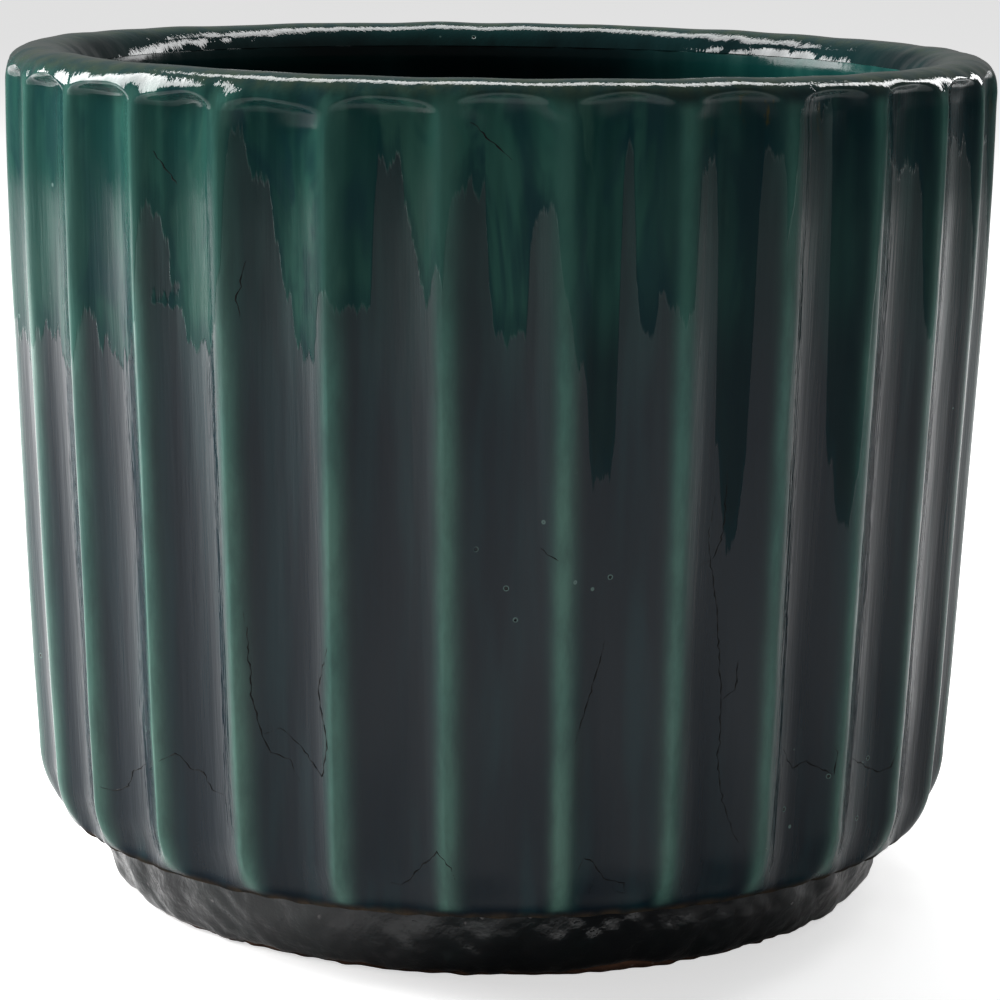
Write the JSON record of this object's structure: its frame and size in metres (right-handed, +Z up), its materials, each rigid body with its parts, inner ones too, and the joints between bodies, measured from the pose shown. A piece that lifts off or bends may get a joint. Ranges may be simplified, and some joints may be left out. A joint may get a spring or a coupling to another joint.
{
  "type": "fluted terracotta planter",
  "caption": "Glazed terracotta planter: concave-fluted barrel wall, thick rolled rim, floor slab with a drain hole, and a foot ring; open planting cavity.",
  "frame": {"origin": "centre of the foot ring's flat underside, on the ground", "axes": "+Z up along the pot's axis; the outside repeats round +Z at every flute, and -Y faces the usual viewer"},
  "size_m": [0.3997, 0.3995, 0.3404],
  "materials": {
    "terracotta": "unglazed fired clay, matt and slightly gritty",
    "glaze_green": "thick glossy bottle-green glaze that thins to pale green on the ridges",
    "glaze_inside": "glossy near-black green glaze",
    "glaze_foot": "glossy near-black glaze, uneven and brushed on"
  },
  "bodies": {
    "root": {"body_wall": "terracotta", "rim_band": "terracotta", "floor_slab": "terracotta", "foot_ring": "terracotta", "outer_glaze": "glaze_green", "inner_glaze": "glaze_inside", "foot_glaze": "glaze_foot"}
  },
  "joints": []
}
